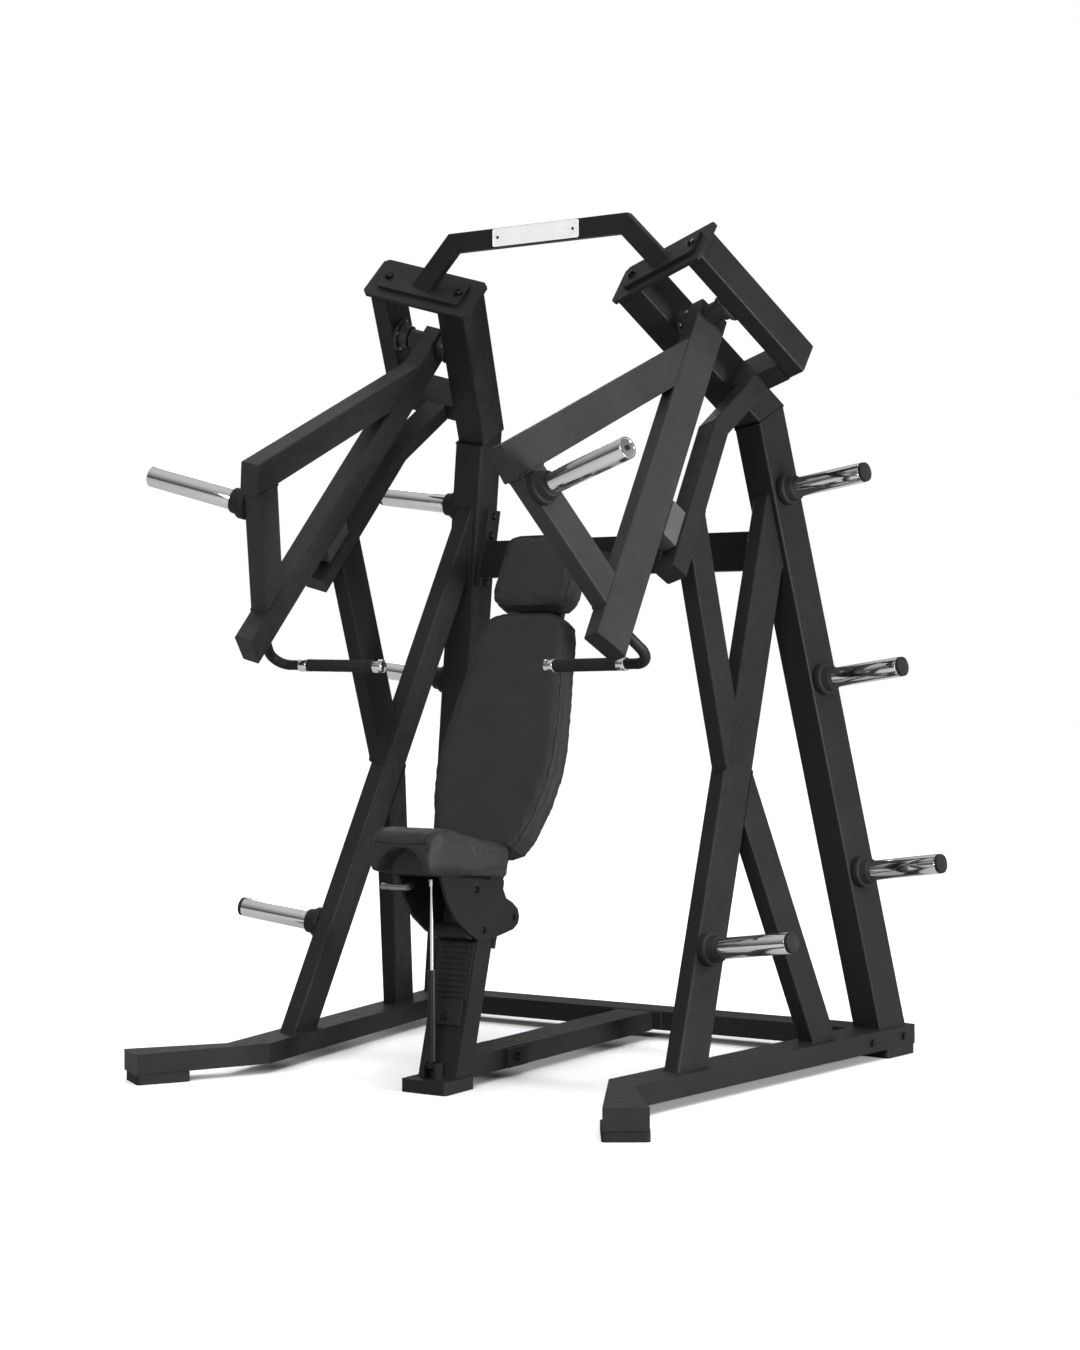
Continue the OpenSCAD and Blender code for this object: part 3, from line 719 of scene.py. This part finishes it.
def face_loop(node, normal):
    """The outline of a node's biggest flat face along a normal."""
    bm = merged(node)
    bmesh.ops.dissolve_limit(bm, angle_limit=math.radians(1), verts=bm.verts, edges=bm.edges)
    facing = [f for f in bm.faces if f.normal.dot(normal) > 0.7]
    face = max(facing, key=lambda f: f.calc_area())
    loop, face_normal = [v.co.copy() for v in face.verts], face.normal.copy()
    bm.free()
    return loop, face_normal


def pressed_seam(mesh, route, width, depth):
    """Sinks the points of a mesh near a route."""
    tree = KDTree(len(route))
    for k, p in enumerate(route):
        tree.insert(p, k)
    tree.balance()
    for v in mesh.vertices:
        gap = tree.find(v.co)[2]
        if gap < width:
            v.co -= v.normal * (depth * (1 - (gap / width) ** 2))


# %% A loop as a curve
def loop_curve(name, points):
    data = bpy.data.curves.new(name, "CURVE")
    data.dimensions = "3D"
    spline = data.splines.new("POLY")
    spline.points.add(len(points) - 1)
    for point, p in zip(spline.points, points):
        point.co = (*p, 1)
    spline.use_cyclic_u = True
    return data


# %% [markdown]
# Welts, stitches and weld beads all follow a path, so Geometry Nodes make
# them. One tree sweeps a round bead whose radius rises and falls along the
# path: with no ripple it is a welt, and with a ripple it is a weld. Another
# sets a stitch every few millimetres, turned along the path.


# %% Geometry Nodes: shared parts
def new_tree(name, inputs):
    """A geometry tree with a geometry socket and named size inputs."""
    tree = bpy.data.node_groups.new(name, "GeometryNodeTree")
    face = tree.interface
    face.new_socket("Geometry", in_out="INPUT", socket_type="NodeSocketGeometry")
    for label, kind in inputs:
        face.new_socket(label, in_out="INPUT", socket_type=kind)
    face.new_socket("Geometry", in_out="OUTPUT", socket_type="NodeSocketGeometry")
    return tree, tree.nodes.new("NodeGroupInput"), tree.nodes.new("NodeGroupOutput")


def joiner(tree):
    return lambda a, b: tree.links.new(a, b)


def finished(tree, link, geometry, given, out):
    """The tail of every tree: Realize Instances, then Set Material."""
    real = tree.nodes.new("GeometryNodeRealizeInstances")
    paint = tree.nodes.new("GeometryNodeSetMaterial")
    link(geometry, real.inputs["Geometry"])
    link(real.outputs["Geometry"], paint.inputs["Geometry"])
    link(given.outputs["Material"], paint.inputs["Material"])
    link(paint.outputs["Geometry"], out.inputs["Geometry"])


def grown(name, data, tree, values):
    """Runs a tree on some data and returns the plain mesh that it makes."""
    host = bpy.data.objects.new(name, data)
    scene.collection.objects.link(host)
    modifier = host.modifiers.new("grow", "NODES")
    modifier.node_group = tree
    for item in tree.interface.items_tree:
        if item.in_out == "INPUT" and item.name in values:
            modifier[item.identifier] = values[item.name]
    host.update_tag()
    bpy.context.view_layer.update()
    return frozen(host, name)


# %% Geometry Nodes: a rippled bead along a path
FLOAT, MATERIAL, OBJECT = "NodeSocketFloat", "NodeSocketMaterial", "NodeSocketObject"
bead_tree, bead_in, bead_out = new_tree(
    "bead", [("Step", FLOAT), ("Radius", FLOAT), ("Pitch", FLOAT), ("Ripple", FLOAT), ("Material", MATERIAL)])
link = joiner(bead_tree)
resample = bead_tree.nodes.new("GeometryNodeResampleCurve")
resample.mode = "LENGTH"
along = bead_tree.nodes.new("GeometryNodeSplineParameter")
phase = bead_tree.nodes.new("ShaderNodeMath")
phase.operation = "DIVIDE"
wave = bead_tree.nodes.new("ShaderNodeMath")
wave.operation = "MULTIPLY"
wave.inputs[1].default_value = 2 * math.pi
sine = bead_tree.nodes.new("ShaderNodeMath")
sine.operation = "SINE"
swell = bead_tree.nodes.new("ShaderNodeMath")
swell.operation = "MULTIPLY_ADD"
swell.inputs[2].default_value = 1.0
thickness = bead_tree.nodes.new("GeometryNodeSetCurveRadius")
ring = bead_tree.nodes.new("GeometryNodeCurvePrimitiveCircle")
ring.inputs["Resolution"].default_value = 8
sweep = bead_tree.nodes.new("GeometryNodeCurveToMesh")
radius_at = bead_tree.nodes.new("GeometryNodeInputRadius")
link(bead_in.outputs["Geometry"], resample.inputs["Curve"])
link(bead_in.outputs["Step"], resample.inputs["Length"])
link(along.outputs["Length"], phase.inputs[0])
link(bead_in.outputs["Pitch"], phase.inputs[1])
link(phase.outputs[0], wave.inputs[0])
link(wave.outputs[0], sine.inputs[0])
link(sine.outputs[0], swell.inputs[0])
link(bead_in.outputs["Ripple"], swell.inputs[1])
link(resample.outputs["Curve"], thickness.inputs["Curve"])
link(swell.outputs[0], thickness.inputs["Radius"])
link(thickness.outputs["Curve"], sweep.inputs["Curve"])
link(radius_at.outputs["Radius"], sweep.inputs["Scale"])
link(bead_in.outputs["Radius"], ring.inputs["Radius"])
link(ring.outputs["Curve"], sweep.inputs["Profile Curve"])
finished(bead_tree, link, sweep.outputs["Mesh"], bead_in, bead_out)
print("bead tree nodes:", len(bead_tree.nodes))


# %% Geometry Nodes: stitches along a path
stitch_tree, stitch_in, stitch_out = new_tree(
    "stitches", [("Pitch", FLOAT), ("Length", FLOAT), ("Radius", FLOAT), ("Material", MATERIAL)])
link = joiner(stitch_tree)
spots = stitch_tree.nodes.new("GeometryNodeCurveToPoints")
spots.mode = "LENGTH"
stitch = stitch_tree.nodes.new("GeometryNodeMeshUVSphere")
stitch.inputs["Segments"].default_value = 6
stitch.inputs["Rings"].default_value = 4
stitch.inputs["Radius"].default_value = 1.0
size = stitch_tree.nodes.new("ShaderNodeCombineXYZ")
lay = stitch_tree.nodes.new("GeometryNodeInstanceOnPoints")
link(stitch_in.outputs["Geometry"], spots.inputs["Curve"])
link(stitch_in.outputs["Pitch"], spots.inputs["Length"])
link(spots.outputs["Points"], lay.inputs["Points"])
link(spots.outputs["Rotation"], lay.inputs["Rotation"])
link(stitch.outputs["Mesh"], lay.inputs["Instance"])
link(stitch_in.outputs["Radius"], size.inputs["X"])
link(stitch_in.outputs["Radius"], size.inputs["Y"])
link(stitch_in.outputs["Length"], size.inputs["Z"])
link(size.outputs["Vector"], lay.inputs["Scale"])
finished(stitch_tree, link, lay.outputs["Instances"], stitch_in, stitch_out)
print("stitch tree nodes:", len(stitch_tree.nodes))


# %% Upholster one pad
STITCH_IN, GROOVE_WIDTH, GROOVE_DEPTH = 0.006, 0.008, 0.0016


def upholster(node, body, face, normal, shrink, rounding, cap, seam_in):
    """The cushion, its welt and its stitches, from the outline of its face."""
    name = node + "_cushion"
    mesh = puffed(node, name, -normal, shrink, rounding, cap)
    mesh.polygons.foreach_set("use_smooth", [True] * len(mesh.polygons))
    bm = bmesh.new()
    bm.from_mesh(mesh)
    surface = BVHTree.FromBMesh(bm)
    bm.free()
    loop = rounded_loop(face)
    route = dropped(drawn_in(loop, normal, seam_in), surface, normal)
    thread_route = dropped(drawn_in(loop, normal, seam_in + STITCH_IN), surface, normal)
    pressed_seam(mesh, route, GROOVE_WIDTH, GROOVE_DEPTH)
    pad = add_piece(name, mesh, finishes["vinyl"], body, [node])
    smooth = pad.modifiers.new("smooth", "SUBSURF")
    smooth.levels = smooth.render_levels = 1
    welt = grown(node + "_welt", loop_curve("welt", route), bead_tree,
                 {"Step": 0.004, "Radius": 0.0019, "Pitch": 0.004, "Ripple": 0.0,
                  "Material": finishes["vinyl"]})
    welt.polygons.foreach_set("use_smooth", [True] * len(welt.polygons))
    add_piece(node + "_welt", welt, None, body)
    row = grown(node + "_stitches", loop_curve("stitches", thread_route), stitch_tree,
                {"Pitch": 0.0075, "Length": 0.0027, "Radius": 0.0006, "Material": thread})
    row.polygons.foreach_set("use_smooth", [True] * len(row.polygons))
    add_piece(node + "_stitches", row, None, body)
    print(node, "seam:", round(sum((a - b).length for a, b in zip(route, route[1:])), 2), "m")


# %% Backrest, headrest and seat
for pad_node in ("backrest_pad", "headrest_pad"):
    face, outward = face_loop(pad_node, Vector((0, -1, 0.4)).normalized())
    upholster(pad_node, "frame", face, outward, shrink=0.0015, rounding=3, cap=0.0035, seam_in=0.006)

SEAT_TOP_Z = 0.556  # the seat's outline is taken from the corners above this height
RIM_Z = 0.6
up = Vector((0, 0, 1))
seat_points = [v.co.copy() for v in nodes["seat_pad"].data.vertices if v.co.z > SEAT_TOP_Z]
level = {(round(p.x, 4), round(p.y, 4)) for p in seat_points}
bm = bmesh.new()
for x, y in sorted(level):
    bm.verts.new((x, y, RIM_Z))
hull = bmesh.ops.convex_hull(bm, input=bm.verts)["geom"]
rim = [v for v in hull if isinstance(v, bmesh.types.BMVert)]
centre = sum((v.co for v in rim), Vector()) / len(rim)
rim = [v.co.copy() for v in sorted(rim, key=lambda v: math.atan2(v.co.y - centre.y, v.co.x - centre.x))]
bm.free()
upholster("seat_pad", "seat", rim, up, shrink=0.001, rounding=7, cap=0.004, seam_in=0.012)


# %% [markdown]
# ## Welds
# The frame is a weldment: each tube ends in a fillet weld on the next one. The
# end face of every tube gives the route of its bead, so it is found on the
# frame's own mesh: the flat face that looks along the tube at that end.


# %% Find the end faces of a tube
def end_loop(node, towards):
    """The outline of the flat face at one end of a tube."""
    bm = merged(node)
    bmesh.ops.dissolve_limit(bm, angle_limit=math.radians(1), verts=bm.verts, edges=bm.edges)
    points = np.array([v.co for v in bm.verts])
    middle, axis, half = long_axis(points)
    if axis.dot(Vector(towards)) < 0:
        axis = -axis
    facing = [f for f in bm.faces
              if f.normal.dot(axis) > 0.3 and (f.calc_center_median() - middle).dot(axis) > 0.5 * half]
    face = max(facing, key=lambda f: f.calc_area())
    loop, normal = [v.co.copy() for v in face.verts], face.normal.copy()
    bm.free()
    return loop, normal


WELD_R, WELD_STEP, WELD_PITCH, WELD_RIPPLE = 0.0022, 0.0016, 0.0048, 0.18
DOWN, UP = (0, 0, -1), (0, 0, 1)
WELDED = [("column", DOWN), ("column", UP), ("front_leg", DOWN), ("front_leg", UP), ("rear_leg", DOWN),
          ("rear_leg", UP), ("prop", DOWN), ("prop", UP), ("inner_beam", UP), ("outer_beam", UP)]
ARM_WELDED = [("arm_top_brace", UP), ("arm_front_brace", UP), ("arm_front_brace", DOWN)]


def weld_beads(name, ends, slot, body):
    """All the beads of one body as one piece."""
    beads = []
    for node, towards in ends:
        loop, normal = end_loop(node, towards)
        out = drawn_in(loop, normal, -0.0006)
        beads.append(grown("bead", loop_curve("bead", out), bead_tree,
                           {"Step": WELD_STEP, "Radius": WELD_R, "Pitch": WELD_PITCH, "Ripple": WELD_RIPPLE,
                            "Material": finishes[slot]}))
    bm = bmesh.new()
    for mesh in beads:
        bm.from_mesh(mesh)
        bpy.data.meshes.remove(mesh)
    joined = bpy.data.meshes.new(name)
    bm.to_mesh(joined)
    bm.free()
    joined.polygons.foreach_set("use_smooth", [True] * len(joined.polygons))
    return add_piece(name, joined, finishes[slot], body)


frame_ends = [(f"{side}_{tube}", way) for side in ("right", "left") for tube, way in WELDED]
weld_beads("frame_welds", frame_ends, "frame_coat", "frame")
for side in ("right", "left"):
    weld_beads(f"{side}_arm_welds", [(f"{side}_{tube}", way) for tube, way in ARM_WELDED],
               "arm_coat", f"{side}_press_arm")
print("weld beads:", len(frame_ends) + 2 * len(ARM_WELDED))


# %% [markdown]
# ## Bolts
# One hexagon bolt is modelled well, with a chamfered head on a washer, and
# Geometry Nodes set it at each place. The frame's own plain bolt heads say
# where: each is flatter than it is wide, so the direction in which its points
# spread the least is its axis.


# %% One bolt, to be repeated
def prism(bm, sections, sides):
    """A closed solid through rings given as (height, radius)."""
    rings = []
    for z, r in sections:
        angles = [2 * math.pi * k / sides for k in range(sides)]
        rings.append([bm.verts.new((r * math.cos(a), r * math.sin(a), z)) for a in angles])
    for low, high in zip(rings, rings[1:]):
        for k in range(sides):
            m = (k + 1) % sides
            bm.faces.new([low[k], low[m], high[m], high[k]])
    bm.faces.new(list(reversed(rings[0])))
    bm.faces.new(rings[-1])


def unit_bolt():
    """A hexagon head on a washer, standing on z = 0, for a washer radius of 1."""
    washer_top, head_r = 0.2, 0.8
    bm = bmesh.new()
    washer = eased([(0, 0), (0, 1.0), (washer_top, 1.0), (washer_top, head_r), (washer_top, 0)], 0.05)
    prism(bm, washer[1:-1], 24)
    prism(bm, [(washer_top, head_r), (0.62, head_r), (0.72, 0.7)], 6)
    bmesh.ops.recalc_face_normals(bm, faces=bm.faces)
    mesh = bpy.data.meshes.new("unit_bolt")
    bm.to_mesh(mesh)
    bm.free()
    return mesh


# %% Geometry Nodes: one object on every point, turned to face outwards
set_tree, set_in, set_out = new_tree("set_on_points", [("Item", OBJECT), ("Material", MATERIAL)])
link = joiner(set_tree)
item = set_tree.nodes.new("GeometryNodeObjectInfo")
facing = set_tree.nodes.new("GeometryNodeInputNamedAttribute")
facing.data_type = "FLOAT_VECTOR"
facing.inputs["Name"].default_value = "facing"
width = set_tree.nodes.new("GeometryNodeInputNamedAttribute")
width.data_type = "FLOAT"
width.inputs["Name"].default_value = "width"
turn = set_tree.nodes.new("FunctionNodeAlignRotationToVector")
turn.axis = "Z"
place_each = set_tree.nodes.new("GeometryNodeInstanceOnPoints")
link(set_in.outputs["Geometry"], place_each.inputs["Points"])
link(set_in.outputs["Item"], item.inputs["Object"])
link(item.outputs["Geometry"], place_each.inputs["Instance"])
link(facing.outputs[0], turn.inputs["Vector"])
link(turn.outputs["Rotation"], place_each.inputs["Rotation"])
link(width.outputs[0], place_each.inputs["Scale"])
finished(set_tree, link, place_each.outputs["Instances"], set_in, set_out)


def set_on(name, spots, item_mesh, slot, body, replaces=()):
    """Copies of a mesh at (place, direction, size) spots, as one piece."""
    points = bpy.data.meshes.new(name)
    points.from_pydata([tuple(s[0]) for s in spots], [], [])
    points.attributes.new("facing", "FLOAT_VECTOR", "POINT").data.foreach_set(
        "vector", [c for s in spots for c in s[1]])
    points.attributes.new("width", "FLOAT", "POINT").data.foreach_set("value", [s[2] for s in spots])
    pattern = bpy.data.objects.new("pattern", item_mesh)
    scene.collection.objects.link(pattern)
    mesh = grown(name, points, set_tree, {"Item": pattern, "Material": finishes[slot]})
    bpy.data.objects.remove(pattern)
    return add_piece(name, mesh, None, body, replaces)


# %% Frame bolts
def bolt_spot(points):
    """(foot, outward direction, radius) of one plain bolt head."""
    middle = points.mean(axis=0)
    axis = np.linalg.svd(points - middle, full_matrices=False)[2][2]
    along_axis = (points - middle) @ axis
    if along_axis.max() + along_axis.min() < 0:
        axis, along_axis = -axis, -along_axis
    foot = middle + axis * along_axis.min()
    return Vector(foot), Vector(axis), radius_about(points, middle, axis)


SMALLEST_BOLT_R = 0.006
bolt = unit_bolt()
bolt_spots = [bolt_spot(p) for p in islands("frame_bolts")]
screws = [s for s in bolt_spots if s[2] < SMALLEST_BOLT_R]
big_spots = [s for s in bolt_spots if s[2] >= SMALLEST_BOLT_R]
set_on("frame_hex_bolts", big_spots, bolt, "black_steel", "frame", ["frame_bolts"])
print("bolts:", len(big_spots))

# %% Bolts on the seat carriage and the bearings
plate_out = max(v.co.x for v in nodes["seat_carriage"].data.vertices)
carriage_bolts = [(-0.283, 0.372), (-0.152, 0.391), (-0.313, 0.470)]
CARRIAGE_BOLT_R = 0.0085
carriage_spots = [((side * plate_out, y, z), (side, 0, 0), CARRIAGE_BOLT_R)
                  for side in (-1, 1) for y, z in carriage_bolts]
set_on("carriage_hex_bolts", carriage_spots, bolt, "black_steel", "seat")

BOLT_CIRCLE_R, BEARING_BOLT_R, NOSE_R = 0.0365, 0.0052, 0.036
bearing_bolts = []
for housing in islands("pivot_bearings"):
    middle = Vector((housing.max(axis=0) + housing.min(axis=0)) / 2)
    joint_name = "right_press" if middle.x > 0 else "left_press"
    axis = next(Vector(j["axis"]) for j in frame["joints"] if j["name"] == joint_name)
    flange = np.array([p for p in housing if radius_about(p[None], middle, axis) > NOSE_R])
    reach = (flange - np.array(middle)) @ np.array(axis)
    inner = reach.max() if abs(reach.max()) < abs(reach.min()) else reach.min()
    outwards = axis if inner == reach.max() else -axis
    across = axis.orthogonal().normalized()
    other = axis.cross(across)
    for k in range(4):
        a = math.pi / 4 + k * math.pi / 2
        spot = middle + axis * float(inner) + (across * math.cos(a) + other * math.sin(a)) * BOLT_CIRCLE_R
        bearing_bolts.append((spot, outwards, BEARING_BOLT_R))
set_on("bearing_bolts", bearing_bolts, bolt, "machined_steel", "frame")
print("bearing bolts:", len(bearing_bolts))

# %% [markdown]
# ## Name plate
# A thin plate with round corners, held by two small screws. It is left blank,
# with only a raised border, so it names nobody.


# %% Name plate
def rounded_plate(low, high, thickness, corner, border):
    """A plate in the X-Z plane facing -Y, with its rim pressed in."""
    bm = bmesh.new()
    steps = 6

    def ring_at(y, inset):
        points = []
        for sx, sz, a0 in ((1, 1, 0), (-1, 1, 90), (-1, -1, 180), (1, -1, 270)):
            cx = (high.x if sx > 0 else low.x) - sx * corner
            cz = (high.z if sz > 0 else low.z) - sz * corner
            for k in range(steps + 1):
                a = math.radians(a0 + 90 * k / steps)
                r = corner - inset
                points.append(bm.verts.new((cx + r * math.cos(a), y, cz + r * math.sin(a))))
        return points

    front = high.y - thickness
    edge, sunk = 0.0003, 0.0004
    levels = [(high.y, 0), (front + edge, 0), (front, edge), (front, border),
              (front + sunk, border + sunk)]
    rings = [ring_at(y, inset) for y, inset in levels]
    count = len(rings[0])
    for a, b in zip(rings, rings[1:]):
        for k in range(count):
            bm.faces.new([a[k], a[(k + 1) % count], b[(k + 1) % count], b[k]])
    bm.faces.new(rings[0])
    bm.faces.new(rings[-1])
    bmesh.ops.recalc_face_normals(bm, faces=bm.faces)
    mesh = bpy.data.meshes.new("name_plate_blank")
    bm.to_mesh(mesh)
    bm.free()
    return mesh


plate_low, plate_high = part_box("name_plate")
plate = rounded_plate(plate_low, plate_high, plate_high.y - plate_low.y, 0.005, 0.002)
add_piece("name_plate_blank", plate, finishes["plate_white"], "frame", ["name_plate"])
SCREW_H = 0.0016
screw_shapes = [(eased([(0, 0), (0, r), (SCREW_H, r * 0.8), (SCREW_H, 0)], 0.0005), foot, out)
                for foot, out, r in screws]
turned_piece("name_plate_screws", screw_shapes, "black_steel", "frame")
print("screws:", len(screws))
